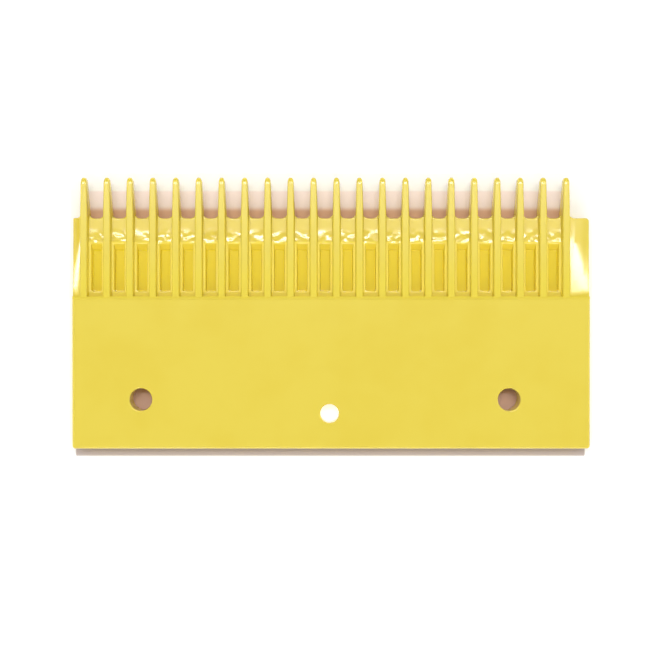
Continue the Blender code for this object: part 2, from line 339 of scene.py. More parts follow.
@dataclass(frozen=True)
class Layout:
    """The places that the base, the web and the teeth share.

    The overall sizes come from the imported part, and the others repeat its own dimensions.
    """

    low: Vector
    high: Vector
    base_length: float = 60.0 * MM
    field_height: float = 0.2 * MM
    first_inset: float = 4.4 * MM
    pitch: float = 9.068 * MM
    teeth: int = 22
    free_length: float = 15.9 * MM
    undercut_length: float = 19.5 * MM
    undercut_rise: float = 5.6 * MM
    nose_length: float = 2.6 * MM
    web_drop: float = 3.4 * MM
    web_foot: float = 1.0 * MM
    front_length: float = 9.2 * MM

    @property
    def step(self) -> float:
        """Where the base ends and the ribs begin."""
        return self.low.y + self.base_length

    @property
    def top(self) -> float:
        """The height of the walking surface."""
        return self.high.z - self.field_height

    @property
    def web(self) -> float:
        """The height of the web."""
        return self.top - self.web_drop

    @property
    def root(self) -> float:
        """Where the teeth leave the web."""
        return self.high.y - self.free_length

    @property
    def crease(self) -> float:
        """Where the web starts to fall towards its front."""
        return self.root - self.front_length

    @property
    def undercut(self) -> float:
        """Where the underside starts to rise."""
        return self.high.y - self.undercut_length

    @property
    def nose(self) -> float:
        """Where the tooth's round nose starts."""
        return self.high.y - self.nose_length

    @property
    def tooth_centres(self) -> list[float]:
        """The middles of the teeth along X."""
        return [self.low.x + self.first_inset + self.pitch * i for i in range(self.teeth)]

    @property
    def gap_centres(self) -> list[float]:
        """The middles of the gaps between the teeth along X."""
        return [x + self.pitch / 2 for x in self.tooth_centres[:-1]]

    def end(self, side: Side) -> tuple[float, float]:
        """Gives the middle of the end tooth and the plate's edge on one side, along X."""
        if side is Side.LEFT:
            return self.tooth_centres[0], self.low.x
        return self.tooth_centres[-1], self.high.x

    def underside(self, y: float) -> float:
        """Gives the height of the teeth's underside at a place along Y."""
        return self.undercut_rise * max(0.0, y - self.undercut) / (self.nose - self.undercut)


@dataclass(frozen=True)
class WebTop:
    """The form of the web's top, which falls to its front and rises in the side margins."""

    layout: Layout
    rear_flat: float = 2.1 * MM
    front_slopes: tuple = ((0.0, 0.0), (0.1, 1.2), (0.4, 1.2), (0.7, 0.1), (0.83, 0.1))
    finger_reach: float = 3.0 * MM
    ramp_slope: float = math.radians(5.2)
    ramp_rows: int = 18
    hump_start: float = 0.43
    hump_height: float = 1.2 * MM
    hump_power: float = 1.25
    blend: float = 0.12 * MM

    def front(self) -> list[tuple[float, float]]:
        """Works out the profile between the pockets and the fingers' ends.

        Returns:
            Its points as (y, z), from the crease to the fingers' ends.
        """
        at = self.layout
        y, z, slope = at.crease, at.web, 0.0
        points = []
        for share, degrees in self.front_slopes:
            reach = at.crease + share * at.front_length
            steeper = math.radians(degrees)
            z -= (reach - y) * math.tan((slope + steeper) / 2)
            y, slope = reach, steeper
            points.append((y, z))
        finger = at.root + self.finger_reach
        points.append((finger, z - (finger - y) * math.tan(slope)))
        return points

    def rows(self) -> list[float]:
        """Works out where the web has sections.

        Returns:
            The places along Y, from the pockets' rear to the fingers' ends.
        """
        at = self.layout
        rear = at.step + self.rear_flat
        ramp = [rear + (at.crease - rear) * i / self.ramp_rows for i in range(self.ramp_rows)]
        return ramp + [y for y, _ in self.front()]

    def height(self, x: float, y: float) -> float:
        """Works out the height of the web's top at a point.

        Args:
            x: The point's place along X.
            y: The point's place along Y.

        Returns:
            The height, in the margins that of a ramp and a hump which run into one another.
        """
        at = self.layout
        first, last = at.tooth_centres[0], at.tooth_centres[-1]
        if first - NEAR <= x <= last + NEAR:
            return self.gap_height(y)
        tooth, edge = at.end(Side.LEFT if x < first else Side.RIGHT)
        share = (x - tooth) / (edge - tooth)
        run = at.crease - max(y, at.step + self.rear_flat)
        ramp = math.tan(self.ramp_slope) * max(0.0, run)
        past = max(0.0, share - self.hump_start) / (1 - self.hump_start)
        hump = self.hump_height * past ** self.hump_power
        both_rise = math.exp(ramp / self.blend) + math.exp(hump / self.blend) - 1
        return at.web + self.blend * math.log(both_rise)

    def gap_height(self, y: float) -> float:
        """Works out the height of the web's top between the teeth.

        Args:
            y: The place along Y.

        Returns:
            The height.
        """
        points = self.front()
        if y <= points[0][0]:
            return self.layout.web
        for (y0, z0), (y1, z1) in zip(points, points[1:]):
            if y <= y1 + NEAR:
                return z0 + (z1 - z0) * (y - y0) / (y1 - y0)
        return points[-1][1]


@dataclass(frozen=True)
class CastBlock:
    """The base and the web that it carries, before the gaps and pockets are cut."""

    layout: Layout
    corner_radius: float = 1.2 * MM
    edge_radius: float = 1.0 * MM
    front_slope: tuple = (1.4 * MM, 0.6 * MM)
    foot_radius: float = 0.4 * MM
    edge_steps: int = 4
    foot_steps: int = 2
    margin_columns: tuple = (4, 8)
    outer_strips: tuple = (0.85 * MM, 1.9 * MM)
    hidden_step: float = 0.5 * MM

    def build(self) -> bpy.types.Object:
        """Models the block.

        Returns:
            A closed body with its front still uncut.
        """
        at = self.layout
        body = block("casting", (at.low.x, at.low.y, at.low.z), (at.high.x, at.step, at.top))
        self.slope_front(body)
        self.pull_web(body)
        rear = at.low.y + NEAR
        round_off(body, self.corner_radius, self.edge_steps,
                  lambda e: upright(e) and both(e, lambda p: p.y < rear))
        round_off(body, self.edge_radius, self.edge_steps,
                  lambda e: is_corner(e) and both(e, lambda p: p.z > at.top - NEAR))
        round_off(body, self.foot_radius, self.foot_steps, lambda e: is_corner(e) and both(
            e, lambda p: p.z < at.low.z + NEAR and p.y < at.step - NEAR))
        merge(body)
        return body

    def slope_front(self, body: bpy.types.Object) -> None:
        """Cuts the base's front top edge to a short slope.

        Args:
            body: The base.
        """
        at = self.layout
        back, down = self.front_slope
        with editing(body, Domain.EDGES):
            bpy.ops.mesh.select_all(action="SELECT")
            slice_at((0, at.step, at.top - down), (0, down, back), cut_off=True)

    def pull_web(self, body: bpy.types.Object) -> None:
        """Extrudes the web from the front of the base, section by section.

        Args:
            body: The base.
        """
        at, form = self.layout, WebTop(self.layout)
        with editing(body, Domain.FACES):
            cuts = [((0, 0, z), (0, 0, 1)) for z in (at.web_foot, at.web)]
            cuts += [((x, 0, 0), (1, 0, 0)) for x in self.columns()]
            for place, normal in cuts:
                pick(body, Domain.FACES, lambda f: f.normal.y > FACING)
                slice_at(place, normal)
            reach = at.step
            for y in form.rows():
                pick(body, Domain.FACES, lambda f, r=reach: f.normal.y > FACING and all(
                    v.co.y > r - NEAR for v in f.verts) and (r > at.step + NEAR or (
                        at.web_foot < f.calc_center_median().z < at.web)))
                bpy.ops.mesh.extrude_region_move(TRANSFORM_OT_translate={"value": (0, y - reach, 0)})
                reach = y
        middle = (at.web + at.web_foot) / 2
        for vert in body.data.vertices:
            x, y, z = vert.co
            if y > at.step + NEAR:
                vert.co.z = form.height(x, y) if z > middle else at.web_foot + at.underside(y)
            elif y > at.step - NEAR and abs(z - at.web) < NEAR:
                vert.co.z = form.height(x, y)
        flatten(body)

    def columns(self) -> list[float]:
        """Works out where the margins have sections, the first ones hidden inside the end ribs.

        Returns:
            The places along X, from left to right.
        """
        places = []
        for side, strip, count in zip(Side, self.outer_strips, self.margin_columns):
            tooth, edge = self.layout.end(side)
            places += [tooth, tooth + side.value * self.hidden_step]
            start, end = tooth + side.value * 2 * self.hidden_step, edge - side.value * strip
            places += [start + (end - start) * i / count for i in range(count + 1)]
        return sorted(places)


@dataclass(frozen=True)
class WebCuts:
    """The cutters of the gaps between the teeth and of the pockets in the web."""

    layout: Layout
    gap_radius: float = 2.5 * MM
    gap_steps: int = 8
    finger_half_width: float = 1.3 * MM
    margin_radius: float = 1.4 * MM
    left_radius: float = 0.57 * MM
    clear: float = 2.0 * MM
    reach: float = 4.0 * MM
    pocket_depth: float = 3.0 * MM
    pocket_overshoot: float = 1.0 * MM
    pocket_width: float = 4.1 * MM
    rear_ledge: float = 2.1 * MM
    front_ledge: float = 0.8 * MM
    draft: float = 0.15 * MM
    front_run: float = 2.6 * MM
    corner_radius: float = 0.7 * MM
    corner_sides: int = 64
    floor_radius: float = 0.3 * MM
    floor_steps: int = 2
    rim_radius: float = 0.38 * MM
    rim_steps: int = 3
    rim_inset: float = 1.0 * MM
    lip_radius: float = 0.55 * MM
    lip_start: float = 3.0 * MM
    lip_fall: float = 1.6 * MM
    lip_angle: float = math.radians(50)
    margin_lip: float = 0.25 * MM

    @property
    def pocket_rear(self) -> float:
        """Where the pockets start."""
        return self.layout.step + self.rear_ledge

    @property
    def pocket_front(self) -> float:
        """Where the pockets end."""
        return self.layout.crease - self.front_ledge

    def gaps(self) -> bpy.types.Object:
        """Models the cutters of all the gaps.

        Returns:
            One object with a body for each gap, which has two round inner corners.
        """
        at = self.layout
        half = at.pitch / 2 - self.finger_half_width
        cutter = block("gap", (-half, at.root, -self.clear),
                       (half, at.root + self.reach, at.web + self.clear))
        round_off(cutter, self.gap_radius, self.gap_steps,
                  lambda e: upright(e) and both(e, lambda p: p.y < at.root + NEAR))
        return copies(cutter, at.gap_centres)

    def margin(self, side: Side) -> bpy.types.Object:
        """Models the cutter in front of a side margin.

        Args:
            side: The end of the row of teeth.

        Returns:
            The cutter, with one round inner corner.
        """
        at = self.layout
        tooth, edge = at.end(side)
        flank = tooth + side.value * self.finger_half_width
        outside = edge + side.value * self.clear
        cutter = block("margin_gap", (min(flank, outside), at.root, -self.clear),
                       (max(flank, outside), at.root + self.reach, at.web + self.clear))
        round_off(cutter, self.gap_radius, self.gap_steps,
                  lambda e: upright(e) and both(
                      e, lambda p: p.y < at.root + NEAR and abs(p.x - flank) < NEAR))
        return cutter

    def corner(self, side: Side) -> bpy.types.Object:
        """Models the cutter that rounds the front corner of a side margin.

        Args:
            side: The end of the row of teeth.

        Returns:
            A block with a round hollow.
        """
        at = self.layout
        edge = at.end(side)[1]
        radius = self.left_radius if side is Side.LEFT else self.margin_radius
        x, y = edge - side.value * radius, at.root - radius
        outside = edge + side.value * self.clear
        cutter = block("corner", (min(x, outside), y, -self.clear),
                       (max(x, outside), at.root + self.clear, at.top + self.clear))
        core = drum("core", x, y, radius + NEAR / 10, -2 * self.clear, at.top + 2 * self.clear,
                    self.corner_sides)
        combine(cutter, core, Blend.CUT)
        return cutter

    def pockets(self) -> bpy.types.Object:
        """Models the cutters of all the pockets, drafted and with a sloping front.

        Returns:
            One object with a body for each pocket.
        """
        at = self.layout
        half = self.pocket_width / 2
        floor = at.web - self.pocket_depth
        cutter = block("pocket", (-half, self.pocket_rear, floor),
                       (half, self.pocket_front, at.web + self.pocket_overshoot))
        over = self.pocket_overshoot / self.pocket_depth
        middle = (self.pocket_rear + self.pocket_front) / 2
        for vert in cutter.data.vertices:
            share = -1 if vert.co.z < at.web else over
            vert.co.x += math.copysign(1, vert.co.x) * self.draft * share
            if vert.co.y > middle:
                vert.co.y += self.front_run * share
        round_off(cutter, self.corner_radius, self.rim_steps, upright)
        round_off(cutter, self.floor_radius, self.floor_steps,
                  lambda e: is_corner(e) and both(e, lambda p: p.z < floor + NEAR))
        return copies(cutter, at.gap_centres)

    def apply(self, body: bpy.types.Object) -> None:
        """Cuts the gaps and pockets into the block and rounds their rims.

        Args:
            body: The block.
        """
        at = self.layout
        combine(body, gathered([self.gaps()] + [self.margin(side) for side in Side]), Blend.CUT)
        combine(body, self.pockets(), Blend.CUT)
        combine(body, gathered([self.corner(side) for side in Side]), Blend.CUT)
        merge(body)
        first, last = at.tooth_centres[0], at.tooth_centres[-1]
        rear, front = self.pocket_rear - NEAR, self.pocket_front + NEAR

        def on_rim(edge: bmesh.types.BMEdge) -> bool:
            """Tells whether an edge lies on the rim of a pocket or on the web beside one."""
            inside = abs(edge.verts[0].co.x) < at.high.x - self.rim_inset
            return inside and is_corner(edge) and both(
                edge, lambda p: abs(p.z - at.web) < NEAR and rear < p.y < front)

        def on_lip(edge: bmesh.types.BMEdge, start: float, inner: bool) -> bool:
            """Tells whether an edge lies on the front of the web, inside the end teeth or not."""
            return is_corner(edge, self.lip_angle) and not upright(edge) and both(
                edge, lambda p: start < p.y < at.root + self.reach and p.z > at.web - self.lip_fall
                and (first < p.x < last) == inner)

        rims = round_off(body, self.rim_radius, self.rim_steps, on_rim)
        lips = round_off(body, self.lip_radius, self.rim_steps,
                         lambda e: on_lip(e, at.root - self.lip_start, True))
        edges = round_off(body, self.margin_lip, self.rim_steps,
                          lambda e: on_lip(e, at.step + NEAR, False))
        log.info("rounded %d rim edges, %d lip edges and %d margin edges", rims, lips, edges)


@dataclass(frozen=True)
class ToothRow:
    """The ribs on the web, which run on as the free teeth."""

    layout: Layout
    top_drop: float = 0.5 * MM
    top_width: float = 2.8 * MM
    foot_width: float = 3.2 * MM
    nose_share: float = 0.84
    nose_steps: int = 6
    nose_end: float = math.radians(80)
    nose_bluntness: float = 0.75
    crown_radius: float = 0.5 * MM
    crown_steps: int = 3
    crown_depth: float = 1.0 * MM
    foot_radius: float = 0.4 * MM
    foot_steps: int = 2
    embed: float = 1.5 * MM
    foot_gap: float = 0.03 * MM

    def build(self) -> bpy.types.Object:
        """Models one tooth with its rib and copies it along the row.

        Returns:
            One object that holds every tooth as a closed body.
        """
        at = self.layout
        top = at.top - self.top_drop
        half = self.top_width / 2
        foot = at.low.z + self.foot_gap
        tooth = block("tooth", (-half, at.step - self.embed, foot), (half, at.nose, top))
        spread = self.foot_width / self.top_width
        with editing(tooth, Domain.VERTS):
            for y in (at.undercut, at.root):
                bpy.ops.mesh.select_all(action="SELECT")
                slice_at((0, y, 0), (0, 1, 0))
            pick(tooth, Domain.VERTS, lambda v: v.co.z < foot + NEAR)
            bpy.ops.transform.resize(value=(spread, 1, 1), center_override=(0, 0, 0))
            for y in (at.root, at.nose):
                pick(tooth, Domain.VERTS,
                     lambda v, y=y: v.co.z < foot + NEAR and abs(v.co.y - y) < NEAR)
                bpy.ops.transform.translate(value=(0, 0, at.underside(y)))
            pick(tooth, Domain.VERTS, lambda v: v.co.y > at.nose - NEAR)
            bpy.ops.transform.resize(value=(self.nose_share, 1, 1), center_override=(0, 0, 0))
        middle = top - self.crown_depth

        def along(edge: bmesh.types.BMEdge) -> bool:
            """Tells whether an edge runs along the tooth."""
            return abs(edge.verts[0].co.y - edge.verts[1].co.y) > MM

        round_off(tooth, self.crown_radius, self.crown_steps,
                  lambda e: along(e) and both(e, lambda p: p.z > middle))
        round_off(tooth, self.foot_radius, self.foot_steps,
                  lambda e: along(e) and is_corner(e) and both(e, lambda p: p.z < middle))
        self.pull_nose(tooth, top)
        return copies(tooth, at.tooth_centres)

    def pull_nose(self, tooth: bpy.types.Object, top: float) -> None:
        """Extrudes the round nose from the front of the tooth.

        Args:
            tooth: The tooth with its rib.
            top: The height of its top.
        """
        at = self.layout
        centre = (top + at.undercut_rise) / 2
        share, reach = 1.0, at.nose
        with editing(tooth, Domain.FACES):
            for i in range(1, self.nose_steps + 1):
                angle = self.nose_end * i / self.nose_steps
                y = at.nose + at.nose_length * math.sin(angle) / math.sin(self.nose_end)
                pick(tooth, Domain.FACES, lambda f, r=reach: all(v.co.y > r - NEAR for v in f.verts))
                bpy.ops.mesh.extrude_region_move(TRANSFORM_OT_translate={"value": (0, y - reach, 0)})
                now = math.cos(angle) ** self.nose_bluntness
                bpy.ops.transform.resize(
                    value=(now / share, 1, now / share), center_override=(0, y, centre))
                share, reach = now, y


@dataclass(frozen=True)
class BaseWork:
    """What is cut into the base and raised on it: cores, bosses, screw holes and a blank field."""

    layout: Layout
    side_hole: float = 8.8 * MM
    hole_spacing: float = 145.0 * MM
    holes_from_middle: float = -2.4 * MM
    side_hole_from_rear: float = 19.4 * MM
    middle_hole: float = 7.3 * MM
    middle_from_middle: float = -0.6 * MM
    middle_hole_from_rear: float = 13.9 * MM
    hole_sides: int = 56
    rim_radius: float = 0.45 * MM
    rim_steps: int = 3
    boss_diameter: float = 17.0 * MM
    skin: float = 4.5 * MM
    wall: float = 4.0 * MM
    rib: float = 2.5 * MM
    core_columns: int = 10
    core_rows: int = 2
    core_radius: float = 2.0 * MM
    core_steps: int = 4
    core_roof_radius: float = 1.0 * MM
    core_roof_steps: int = 3
    field_length: float = 35.0 * MM
    field_width: float = 19.2 * MM
    field_from_middle: float = -1.2 * MM
    field_from_rear: float = 41.1 * MM
    field_slope: float = 0.7 * MM
    field_depth: float = 1.0 * MM
    field_steps: int = 16
    field_rim: float = 0.1 * MM
    clear: float = 2.0 * MM

    @property
    def holes(self) -> list[tuple[float, float, float]]:
        """Works out the screw holes.

        Returns:
            The left, the right and the middle one, as (x, y, radius).
        """
        rear = self.layout.low.y
        side_y = rear + self.side_hole_from_rear
        half = self.hole_spacing / 2
        return [
            (self.holes_from_middle - half, side_y, self.side_hole / 2),
            (self.holes_from_middle + half, side_y, self.side_hole / 2),
            (self.middle_from_middle, rear + self.middle_hole_from_rear, self.middle_hole / 2),
        ]

    def cores(self) -> bpy.types.Object:
        """Models the cutters that hollow the base from below.

        Returns:
            One object with a body for each hollow, clear of the screw bosses.
        """
        at = self.layout
        wide = (at.high.x - at.low.x - 2 * self.wall + self.rib) / self.core_columns - self.rib
        deep = (at.base_length - 2 * self.wall + self.rib) / self.core_rows - self.rib
        roof = at.top - self.skin
        core = block("core", (0, 0, -self.clear), (wide, deep, roof))
        round_off(core, self.core_radius, self.core_steps, upright)
        round_off(core, self.core_roof_radius, self.core_roof_steps,
                  lambda e: is_corner(e) and both(e, lambda p: p.z > roof - NEAR))
        cores = copies(
            core, [at.low.x + self.wall + i * (wide + self.rib) for i in range(self.core_columns)],
            [at.low.y + self.wall + i * (deep + self.rib) for i in range(self.core_rows)])
        bosses = gathered([
            drum("boss", x, y, self.boss_diameter / 2, -2 * self.clear, at.top, self.hole_sides)
            for x, y, _ in self.holes])
        combine(cores, bosses, Blend.CUT)
        return cores

    def field(self) -> bpy.types.Object:
        """Models the blank raised field.

        Returns:
            A slab with round ends and a soft slope round its top.
        """
        at = self.layout
        y = at.low.y + self.field_from_rear
        x = self.field_from_middle
        half_x, half_y = self.field_length / 2, self.field_width / 2
        field = block("field", (x - half_x, y - half_y, at.top - self.field_depth),
                      (x + half_x, y + half_y, at.high.z))
        round_off(field, half_y - NEAR, self.field_steps, upright)
        with editing(field, Domain.FACES):
            pick(field, Domain.FACES, lambda f: f.normal.z > FACING)
            bpy.ops.mesh.inset(thickness=self.field_slope, depth=0)
        for vert in field.data.vertices:
            past = max(0.0, abs(vert.co.x - x) - (half_x - half_y))
            on_rim = math.hypot(past, vert.co.y - y) > half_y - NEAR - self.field_rim
            if on_rim and vert.co.z > at.top:
                vert.co.z = at.top - 2 * NEAR
        return field

    def apply(self, body: bpy.types.Object) -> None:
        """Cores the base, raises the field and drills the screw holes.

        Args:
            body: The block with its web.
        """
        at = self.layout
        combine(body, self.cores(), Blend.CUT)
        combine(body, self.field(), Blend.WELD)
        drills = gathered([
            drum("drill", x, y, radius, -self.clear, at.high.z + self.clear, self.hole_sides)
            for x, y, radius in self.holes])
        combine(body, drills, Blend.CUT)

        def on_hole(point: Vector) -> bool:
            """Tells whether a point lies on the wall of a screw hole."""
            return any(abs(math.hypot(point.x - x, point.y - y) - radius) < 2 * NEAR
                       for x, y, radius in self.holes)

        for height in (at.top, at.low.z):
            rims = round_off(body, self.rim_radius, self.rim_steps, lambda e, z=height: (
                is_corner(e) and both(e, lambda p: abs(p.z - z) < NEAR and on_hole(p))))
            log.info("rounded %d hole edges at %.1f mm", rims, height / MM)


@dataclass(frozen=True)
class CombPlate:
    """The whole casting, welded from its parts and dressed in its coat."""

    layout: Layout
    fillet_radius: float = 0.42 * MM
    fillet_steps: int = 3
    foot_fall: float = 1.2 * MM
    least_run: float = 0.8
    least_gap: float = 0.001 * MM
    smooth_angle: float = math.radians(32)
    sharp_angle: float = math.radians(10)
    step_edge: tuple = ((-1.6 * MM, -1.2 * MM), (NEAR, NEAR))
    finger_ends: tuple = ((-2.0 * MM, -1.0 * MM), (4.0 * MM, -0.65 * MM))
    face_weight: int = 90

    def build(self) -> bpy.types.Object:
        """Models the casting as one closed body.

        Returns:
            The finished mesh object at the origin.
        """
        at = self.layout
        body = CastBlock(at).build()
        WebCuts(at).apply(body)
        BaseWork(at).apply(body)
        combine(body, ToothRow(at).build(), Blend.WELD)
        self.fill_corners(body)
        self.tidy(body)
        body.name = "comb_plate_casting"
        body.data.name = body.name
        return body

    def fill_corners(self, body: bpy.types.Object) -> None:
        """Gives the ribs a small fillet where they stand on the web.

        Args:
            body: The casting with its teeth.
        """
        at = self.layout
        merge(body, self.least_gap)

        def at_foot(edge: bmesh.types.BMEdge) -> bool:
            """Tells whether an edge lies in the corner between a rib and the web."""
            run = edge.verts[1].co - edge.verts[0].co
            return (is_corner(edge) and not edge.is_convex
                    and abs(run.y) > self.least_run * run.length
                    and both(edge, lambda p: (
                        at.step - NEAR < p.y < at.root and p.z > at.web - self.foot_fall)))

        count = round_off(body, self.fillet_radius, self.fillet_steps, at_foot)
        log.info("filled %d corner edges", count)

    def tidy(self, body: bpy.types.Object) -> None:
        """Merges doubled points, shades the mesh and keeps its flat faces flat.

        Args:
            body: The finished casting.
        """
        at = self.layout
        merge(body, self.least_gap)
        flatten(body)
        choose(body)
        bpy.ops.object.shade_smooth_by_angle(angle=self.smooth_angle, keep_sharp_edges=False)
        self.sharpen(body, (at.step, at.top), self.step_edge)
        self.sharpen(body, (at.root, at.web), self.finger_ends)
        modifier = body.modifiers.new("weighted", "WEIGHTED_NORMAL")
        modifier.keep_sharp = True
        modifier.weight = self.face_weight
        bpy.ops.object.modifier_apply(modifier=modifier.name)

    def sharpen(self, body: bpy.types.Object, place: tuple, zone: tuple) -> None:
        """Marks the edges in one zone along X as sharp.

        Args:
            body: The casting.
            place: The point (y, z) that the zone lies at.
            zone: The zone's lowest and highest corners, as distances from that point.
        """
        low, high = ([start + part for start, part in zip(place, corner)] for corner in zone)
        with editing(body, Domain.EDGES):
            pick(body, Domain.EDGES, lambda e: is_corner(e, self.sharp_angle) and both(
                e, lambda p: low[0] < p.y < high[0] and low[1] < p.z < high[1]))
            bpy.ops.mesh.mark_sharp()


# Node work


@dataclass(frozen=True)
class Fade:
    """How a mask lies over a stretch: its reach past the two ends, and its blur inside them."""

    before: float
    after: float
    blur: float


def from_place(place: float, ends: tuple) -> tuple[float, float]:
    """Gives the two ends of a range that are held as distances from a place."""
    return place + ends[0], place + ends[1]


@dataclass(frozen=True)
class Wiring:
    """Adds nodes to one node tree, where most methods give the socket of the new node's result."""

    tree: bpy.types.NodeTree

    def feed(self, socket: Socket, value: Socket | tuple | float) -> None:
        """Links something to an input, or sets the input where it is a plain value.

        Args:
            socket: The input.
            value: The socket that feeds it, or a colour or number.
        """
        if isinstance(value, bpy.types.NodeSocket):
            self.tree.links.new(value, socket)
        else:
            socket.default_value = value

    def parts(self, place: Socket) -> tuple[Socket, Socket, Socket]:
        """Splits a vector.

        Args:
            place: The vector.

        Returns:
            Its X, Y and Z.
        """
        split = self.tree.nodes.new("ShaderNodeSeparateXYZ")
        self.feed(split.inputs["Vector"], place)
        return split.outputs["X"], split.outputs["Y"], split.outputs["Z"]

    def maths(self, operation: str, *values: Socket | float) -> Socket:
        """Adds a calculation.

        Args:
            operation: What it does, in Blender's word.
            values: The one or two values that it works on.

        Returns:
            The result.
        """
        node = self.tree.nodes.new("ShaderNodeMath")
        node.operation = operation
        for socket, value in zip(node.inputs, values):
            self.feed(socket, value)
        return node.outputs["Value"]

    def product(self, *values: Socket) -> Socket:
        """Multiplies values."""
        return reduce(partial(self.maths, "MULTIPLY"), values)

    def total(self, *values: Socket) -> Socket:
        """Adds values up."""
        return reduce(partial(self.maths, "ADD"), values)

    def distance(self, place: Socket, point: tuple) -> Socket:
        """Adds how far a place lies from a point.

        Args:
            place: The place, as a vector.
            point: The fixed point.

        Returns:
            The distance.
        """
        node = self.tree.nodes.new("ShaderNodeVectorMath")
        node.operation = "DISTANCE"
        self.feed(node.inputs[0], place)
        self.feed(node.inputs[1], point)
        return node.outputs["Value"]

    def noise(self, place: Socket, size: float, detail: int) -> Socket:
        """Adds a noise.

        Args:
            place: The place, as a vector.
            size: The size of its features.
            detail: How many finer layers it has.

        Returns:
            The noise's value.
        """
        node = self.tree.nodes.new("ShaderNodeTexNoise")
        for name, value in (("Vector", place), ("Scale", 1 / size), ("Detail", detail)):
            self.feed(node.inputs[name], value)
        return node.outputs["Fac"]

    def ranged(self, value: Socket, source: tuple, target: tuple) -> Socket:
        """Maps a value smoothly from one range to another.

        Args:
            value: The value.
            source: The two ends of its range.
            target: What the two ends become.

        Returns:
            The mapped value.
        """
        node = self.tree.nodes.new("ShaderNodeMapRange")
        node.interpolation_type = "SMOOTHSTEP"
        node.inputs["From Min"].default_value, node.inputs["From Max"].default_value = source
        node.inputs["To Min"].default_value, node.inputs["To Max"].default_value = target
        self.feed(node.inputs["Value"], value)
        return node.outputs["Result"]

    def between(self, value: Socket, ends: tuple, fade: Fade) -> Socket:
        """Adds a mask of the values over a stretch.

        Args:
            value: The value.
            ends: The two ends of the stretch.
            fade: How the mask lies over it.

        Returns:
            The mask, 1 on the stretch and 0 away from it.
        """
        low, high = ends[0] - fade.before, ends[1] + fade.after
        return self.product(self.ranged(value, (low, low + fade.blur), (0.0, 1.0)),
                            self.ranged(value, (high - fade.blur, high), (1.0, 0.0)))

    def mixed(self, factor: Socket, first: Socket | tuple, second: Socket | tuple,
              kind: str = "RGBA") -> Socket:
        """Mixes two colours or numbers, which are plain ones or come over a link.

        Args:
            factor: The share of the second one.
            first: What shows where the factor is 0.
            second: What shows where the factor is 1.
            kind: What is mixed, in Blender's word.

        Returns:
            The mixture.
        """
        node = self.tree.nodes.new("ShaderNodeMix")
        node.data_type = kind
        for name, value in (("Factor", factor), ("A", first), ("B", second)):
            self.feed(node.inputs[name], value)
        return node.outputs["Result"]

    def bump(self, height: Socket, distance: float, normal: Socket | None = None) -> Socket:
        """Adds a bump.

        Args:
            height: The pattern.
            distance: How high it stands where the pattern is 1.
            normal: The normal of a bump below it.

        Returns:
            The normal.
        """
        node = self.tree.nodes.new("ShaderNodeBump")
        node.inputs["Distance"].default_value = distance
        self.feed(node.inputs["Height"], height)
        if normal is not None:
            self.feed(node.inputs["Normal"], normal)
        return node.outputs["Normal"]


# Finishes


